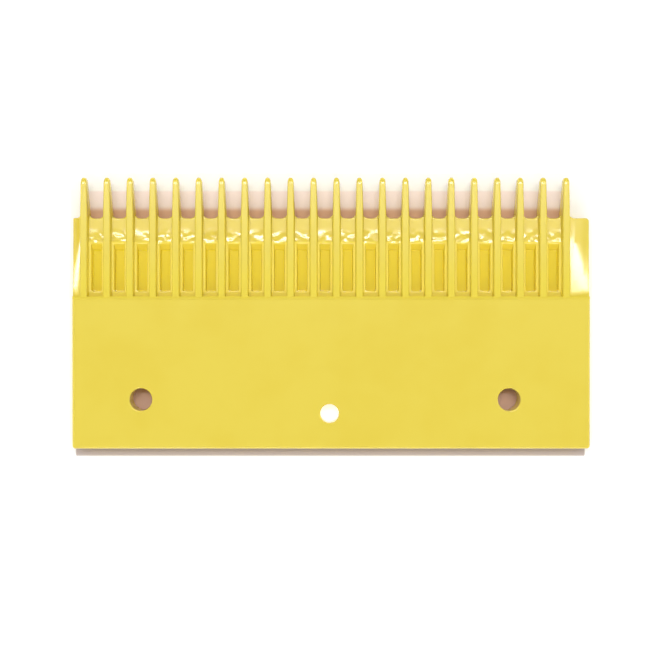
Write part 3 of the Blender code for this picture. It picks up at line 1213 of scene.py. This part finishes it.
@dataclass(frozen=True)
class PowderCoat:
    """Glossy powder coat with orange peel and mottling.

    Painted light makes it lighter round the pockets' rims and on their walls. Painted shade
    makes it deeper on their floors, which are also glossier, and faintly on the strip behind
    them next to the base. It lies in thicker ripples on the web's front. The masks are held as
    distances from the web's top, the step, the crease and the teeth's roots.
    """

    layout: Layout
    colour: tuple = (0.76, 0.605, 0.060, 1.0)
    deep_colour: tuple = (0.73, 0.56, 0.040, 1.0)
    # painted shade: a deeper, more saturated yellow on the pockets' floors and the strip next to the
    # base
    shaded_recess_colour: tuple = (0.79, 0.63, 0.006, 1.0)
    # painted light: a lighter yellow on the pockets' walls and rims
    lit_wall_colour: tuple = (0.90, 0.735, 0.08, 1.0)
    roughness: float = 0.13
    recess_roughness: float = 0.1
    reflectance: float = 0.75
    mottle_size: float = 18.0 * MM
    mottle_range: tuple = (0.35, 0.75)
    mottle_share: float = 0.5
    peel_size: float = 1.1 * MM
    peel_height: float = 0.006 * MM
    ripple_size: float = 3.6 * MM
    ripple_height: float = 0.26 * MM
    ripple_range: tuple = (0.25, 0.75)
    ripple_start: tuple = (-1.0 * MM, 0.5 * MM)
    ripple_end: tuple = (-8.0 * MM, -3.5 * MM)
    ripple_top: tuple = (0.3 * MM, 1.0 * MM)
    ripple_sides: Fade = Fade(0.0, 0.0, 1.0 * MM)
    floor_top: tuple = (-2.85 * MM, -2.4 * MM)
    floor_length: Fade = Fade(-1.0 * MM, -0.4 * MM, 0.8 * MM)
    ledge_shade_share: float = 0.35
    ledge_start: tuple = (-1.0 * MM, 0.0)
    ledge_end: float = 5.0 * MM
    wall_height: Fade = Fade(2.85 * MM, 1.3 * MM, 0.45 * MM)
    wall_length: Fade = Fade(-1.4 * MM, 0.2 * MM, 0.7 * MM)
    wall_sides: Fade = Fade(0.0, 0.0, 0.5 * MM)

    def material(self) -> bpy.types.Material:
        """Makes the material.

        Returns:
            The coat, with its pattern on Object coordinates.
        """
        coat = bpy.data.materials.new("yellow_powder_coat")
        coat.use_nodes = True
        wiring, nodes = Wiring(coat.node_tree), coat.node_tree.nodes
        surface = nodes.new("ShaderNodeGroup")
        surface.node_tree = self.surface_group()
        for name, value in (
                ("Place", nodes.new("ShaderNodeTexCoord").outputs["Object"]),
                ("Colour", self.colour), ("Deep colour", self.deep_colour),
                ("Shaded recess colour", self.shaded_recess_colour), ("Lit wall colour", self.lit_wall_colour),
                ("Roughness", self.roughness), ("Recess roughness", self.recess_roughness)):
            wiring.feed(surface.inputs[name], value)
        ripple = wiring.bump(surface.outputs["Ripple"], self.ripple_height)
        shader = nodes["Principled BSDF"]
        for name, value in (
                ("Base Color", surface.outputs["Colour"]), ("Roughness", surface.outputs["Roughness"]),
                ("Specular IOR Level", self.reflectance),
                ("Normal", wiring.bump(surface.outputs["Peel"], self.peel_height, ripple))):
            wiring.feed(shader.inputs[name], value)
        return coat

    def surface_group(self) -> bpy.types.NodeTree:
        """Makes the node group of the coat's surface.

        Returns:
            A group that gives its colour, its roughness and the heights of ripples and peel.
        """
        tree = bpy.data.node_groups.new("coat_surface", "ShaderNodeTree")
        sockets = {
            "INPUT": {"Place": "Vector", "Colour": "Color", "Deep colour": "Color",
                      "Shaded recess colour": "Color", "Lit wall colour": "Color", "Roughness": "Float",
                      "Recess roughness": "Float"},
            "OUTPUT": {"Colour": "Color", "Roughness": "Float", "Ripple": "Float", "Peel": "Float"}}
        for direction, kinds in sockets.items():
            for name, kind in kinds.items():
                tree.interface.new_socket(name=name, in_out=direction, socket_type="NodeSocket" + kind)
        wiring = Wiring(tree)
        inside = tree.nodes.new("NodeGroupInput").outputs
        outside = tree.nodes.new("NodeGroupOutput").inputs
        place = inside["Place"]
        x, y, z = wiring.parts(place)
        pocket_floor = self.pocket_floor(wiring, y, z)
        mottle = wiring.ranged(
            wiring.noise(place, self.mottle_size, 2), self.mottle_range, (0.0, self.mottle_share))
        paint = wiring.mixed(mottle, inside["Colour"], inside["Deep colour"])
        # painted shade: the pockets' floors and the strip next to the base take the deeper yellow
        paint = wiring.mixed(
            wiring.total(pocket_floor, self.ledge(wiring, y)), paint, inside["Shaded recess colour"])
        # painted light: the pockets' walls and rims take the lighter yellow
        paint = wiring.mixed(self.walls(wiring, x, y, z), paint, inside["Lit wall colour"])
        sheen = wiring.mixed(pocket_floor, inside["Roughness"], inside["Recess roughness"], "FLOAT")
        wave = wiring.ranged(
            wiring.noise(place, self.ripple_size, 1), self.ripple_range, (-0.5, 0.5))
        for name, value in (
                ("Colour", paint), ("Roughness", sheen),
                ("Ripple", wiring.product(wave, self.ripples(wiring, x, y, z))),
                ("Peel", wiring.noise(place, self.peel_size, 2))):
            wiring.feed(outside[name], value)
        return tree

    def pocket_floor(self, wiring: Wiring, y: Socket, z: Socket) -> Socket:
        """Adds the mask of the pockets' floors, which carries their painted shade and lower roughness.

        Args:
            wiring: The group's nodes.
            y: The place along Y.
            z: The height.

        Returns:
            The mask.
        """
        at = self.layout
        return wiring.product(
            wiring.ranged(z, from_place(at.web, self.floor_top), (1.0, 0.0)),
            wiring.between(y, (at.step, at.crease), self.floor_length))

    def ledge(self, wiring: Wiring, y: Socket) -> Socket:
        """Adds the faint mask of painted shade on the ledge behind the pockets, which fades towards the
        crease.

        Args:
            wiring: The group's nodes.
            y: The place along Y.

        Returns:
            The mask.
        """
        at = self.layout
        return wiring.product(
            wiring.ranged(y, from_place(at.step, self.ledge_start), (0.0, self.ledge_shade_share)),
            wiring.ranged(y, (at.step + self.ledge_end, at.crease), (1.0, 0.0)))

    def walls(self, wiring: Wiring, x: Socket, y: Socket, z: Socket) -> Socket:
        """Adds the mask of the painted light on the pockets' walls and rims, where lighter paint stands
        in for light.

        Args:
            wiring: The group's nodes.
            x: The place along X.
            y: The place along Y.
            z: The height.

        Returns:
            The mask.
        """
        at = self.layout
        return wiring.product(
            wiring.between(z, (at.web, at.web), self.wall_height),
            wiring.between(y, (at.step, at.crease), self.wall_length),
            wiring.between(x, (at.tooth_centres[0], at.tooth_centres[-1]), self.wall_sides))

    def ripples(self, wiring: Wiring, x: Socket, y: Socket, z: Socket) -> Socket:
        """Adds the mask of the web's front between the end teeth.

        Args:
            wiring: The group's nodes.
            x: The place along X.
            y: The place along Y.
            z: The height.

        Returns:
            The mask.
        """
        at = self.layout
        return wiring.product(
            wiring.ranged(y, from_place(at.crease, self.ripple_start), (0.0, 1.0)),
            wiring.ranged(y, from_place(at.root, self.ripple_end), (1.0, 0.0)),
            wiring.ranged(z, from_place(at.web, self.ripple_top), (1.0, 0.0)),
            wiring.between(x, (at.tooth_centres[0], at.tooth_centres[-1]), self.ripple_sides))


# Studio


@dataclass(frozen=True)
class Glow:
    """A soft bright patch of the sky, by its angles from straight up in degrees.

    The tilt is towards the tooth tips, and the spread is to the left and to the right alike.
    """

    radiance: float
    tilt: float
    tilt_core: float
    tilt_edge: float
    spread: float
    spread_core: float
    spread_edge: float

    def over(self, wiring: Wiring, tilt: Socket, spread: Socket) -> Socket:
        """Adds the glow's radiance over the sky.

        Args:
            wiring: The sky's nodes.
            tilt: The angle towards the tooth tips, in radians.
            spread: The angle to the right, in radians.

        Returns:
            The radiance.
        """
        off = self.apart(wiring, tilt, self.tilt)
        aside = self.apart(wiring, wiring.maths("ABSOLUTE", spread), self.spread)
        along = (math.radians(self.tilt_core), math.radians(self.tilt_edge))
        across = (math.radians(self.spread_core), math.radians(self.spread_edge))
        return wiring.product(wiring.ranged(off, along, (self.radiance, 0.0)),
                              wiring.ranged(aside, across, (1.0, 0.0)))

    @staticmethod
    def apart(wiring: Wiring, angle: Socket, degrees: float) -> Socket:
        """Adds how far an angle in radians lies from another one, given in degrees."""
        return wiring.maths("ABSOLUTE", wiring.maths("SUBTRACT", angle, math.radians(degrees)))


@dataclass(frozen=True)
class Studio:
    """The floor of paper, the soft light and the camera that looks straight down."""

    layout: Layout
    camera_place: tuple = (-2.2 * MM, -4.94 * MM)
    camera_height: float = 450.0 * MM
    view_width: float = 256.2 * MM
    sensor: float = 36.0
    floor_size: float = 6.0
    floor_drop: float = 0.05 * MM
    floor_roughness: float = 0.9
    floor_reflectance: float = 0.1
    paper: tuple = (0.96, 0.955, 0.95, 1.0)
    rosy_paper: tuple = (0.92, 0.80, 0.79, 1.0)
    # painted shadow: a deeper sheet at the gaps' roots
    gap_shadow_paper: tuple = (0.69, 0.435, 0.305, 1.0)
    # painted shade: a darker sheet below the base, seen through the holes
    hole_shade_paper: tuple = (0.62, 0.42, 0.36, 1.0)
    shade_paper: tuple = (0.49, 0.415, 0.40, 1.0)
    sheet_across: Fade = Fade(-3.0 * MM, -8.0 * MM, 1.0 * MM)
    sheet_along: Fade = Fade(-3.0 * MM, -3.9 * MM, 1.0 * MM)
    gap_shadow_band: tuple = (3.0 * MM, 5.6 * MM)
    bare_radii: tuple = (6.0 * MM, 8.0 * MM)
    spot_radii: tuple = (4.0 * MM, 6.0 * MM)
    shade_across: Fade = Fade(1.0 * MM, 0.5 * MM, 1.0 * MM)
    shade_along: Fade = Fade(5.0 * MM, 4.5 * MM, 2.2 * MM)
    paper_glow: float = 0.45
    unlit: Fade = Fade(6.0 * MM, 6.0 * MM, 4.5 * MM)
    # painted light: the floor glows under the middle hole
    hole_glow: float = 0.7
    zenith: float = 0.5
    middle: float = 0.43
    horizon: float = 0.8
    zenith_band: tuple = (0.95, 0.99)
    horizon_band: tuple = (0.2, 0.45)
    halo: Glow = Glow(3.7, 13.5, 0.0, 12.5, 0.0, 13.0, 20.0)
    strip: Glow = Glow(16.5, 13.9, 1.7, 2.5, 0.0, 14.0, 18.0)
    front: Glow = Glow(2.2, 27.0, 2.0, 7.0, 0.0, 14.0, 22.0)
    rear: Glow = Glow(3.6, -50.0, 6.0, 12.0, 0.0, 16.0, 26.0)
    sides: Glow = Glow(0.75, 0.0, 22.0, 40.0, 38.0, 12.0, 22.0)

    def build(self) -> None:
        """Sets up the whole studio."""
        self.floor()
        self.light()
        self.camera()
        bpy.context.scene.view_settings.view_transform = "Standard"

    def floor(self) -> None:
        """Lays the floor and paints it.

        It is white paper that glows a little away from the plate, as painted light. A rosy sheet
        shows in the gaps and the outer holes, darkened by painted shade below the base and by a
        painted shadow at the gaps' roots. A glowing spot of painted light brightens the middle
        hole, and a painted shadow runs as a shaded strip behind the rear edge.
        """
        bpy.ops.object.select_all(action="DESELECT")
        bpy.ops.mesh.primitive_plane_add(size=self.floor_size, location=(0, 0, -self.floor_drop))
        ground = settled("floor")
        material = bpy.data.materials.new("pale_floor")
        material.use_nodes = True
        wiring = Wiring(material.node_tree)
        place = wiring.tree.nodes.new("ShaderNodeTexCoord").outputs["Object"]
        x, y, _ = wiring.parts(place)
        at = self.layout
        wide, deep = (at.low.x, at.high.x), (at.low.y, at.high.y)
        hole_x, hole_y, _ = BaseWork(at).holes[-1]
        around = wiring.distance(place, (hole_x, hole_y, 0))
        shade = wiring.product(
            wiring.between(x, wide, self.shade_across),
            wiring.between(y, (at.low.y, at.low.y), self.shade_along))
        clear = wiring.ranged(shade, (0.0, 1.0), (1.0, 0.0))
        sheet = wiring.product(
            wiring.between(x, wide, self.sheet_across), wiring.between(y, deep, self.sheet_along),
            wiring.ranged(around, self.bare_radii, (0.0, 1.0)))
        paint = wiring.mixed(sheet, self.paper, self.rosy_sheet(wiring, y))
        paint = wiring.mixed(clear, self.shade_paper, paint)
        close = wiring.product(
            wiring.between(x, wide, self.unlit), wiring.between(y, deep, self.unlit))
        lit = wiring.product(wiring.ranged(close, (0.0, 1.0), (self.paper_glow, 0.0)), clear)
        spot = wiring.ranged(around, self.spot_radii, (self.hole_glow, 0.0))
        shader = wiring.tree.nodes["Principled BSDF"]
        for name, value in (
                ("Base Color", paint), ("Roughness", self.floor_roughness),
                ("Specular IOR Level", self.floor_reflectance), ("Emission Color", self.paper),
                ("Emission Strength", wiring.total(lit, spot))):
            wiring.feed(shader.inputs[name], value)
        ground.data.materials.append(material)

    def rosy_sheet(self, wiring: Wiring, y: Socket) -> Socket:
        """Adds the colour of the sheet below the plate.

        Args:
            wiring: The floor's nodes.
            y: The place along Y.

        Returns:
            The colour: a painted shade below the base, a painted shadow at the gaps' roots and
            the sheet's pale rosy one at the tips.
        """
        at = self.layout
        front = wiring.mixed(
            wiring.ranged(y, from_place(at.root, self.gap_shadow_band), (0.0, 1.0)),
            self.gap_shadow_paper, self.rosy_paper)
        return wiring.mixed(
            wiring.ranged(y, (at.step, at.crease), (0.0, 1.0)), self.hole_shade_paper, front)

    def light(self) -> None:
        """Lights the scene with a sky of soft glows, as big lamps and a lit room give."""
        world = bpy.data.worlds.new("studio_sky")
        world.use_nodes = True
        wiring = Wiring(world.node_tree)
        x, y, z = wiring.parts(wiring.tree.nodes.new("ShaderNodeTexCoord").outputs["Generated"])
        tilt, spread = (wiring.maths("ARCTAN2", across, z) for across in (y, x))
        sky = wiring.total(
            wiring.ranged(z, self.zenith_band, (self.middle, self.zenith)),
            wiring.ranged(z, self.horizon_band, (self.horizon - self.middle, 0.0)),
            *(glow.over(wiring, tilt, spread)
              for glow in (self.halo, self.strip, self.front, self.rear, self.sides)))
        background = wiring.tree.nodes["Background"].inputs
        wiring.feed(background["Strength"], sky)
        wiring.feed(background["Color"], (1, 1, 1, 1))
        bpy.context.scene.world = world

    def camera(self) -> None:
        """Places the camera straight above the plate, with Y up in the picture."""
        lens = bpy.data.cameras.new("camera")
        lens.sensor_width = self.sensor
        lens.lens = self.sensor * self.camera_height / self.view_width
        eye = bpy.data.objects.new("camera", lens)
        eye.location = (*self.camera_place, self.layout.top + self.camera_height)
        bpy.context.scene.collection.objects.link(eye)
        bpy.context.scene.camera = eye


def main() -> None:
    """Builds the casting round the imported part, dresses it and sets up the studio."""
    logging.basicConfig(level=logging.INFO, format="%(message)s", stream=sys.stdout)
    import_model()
    layout = Layout(*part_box(NODE))
    casting = CombPlate(layout).build()
    casting.data.materials.clear()
    casting.data.materials.append(PowderCoat(layout).material())
    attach(casting, "root")
    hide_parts(NODE)
    log.info("%s: %d vertices, %d faces", casting.name, len(casting.data.vertices),
             len(casting.data.polygons))
    Studio(layout).build()


if __name__ == "__main__":
    main()
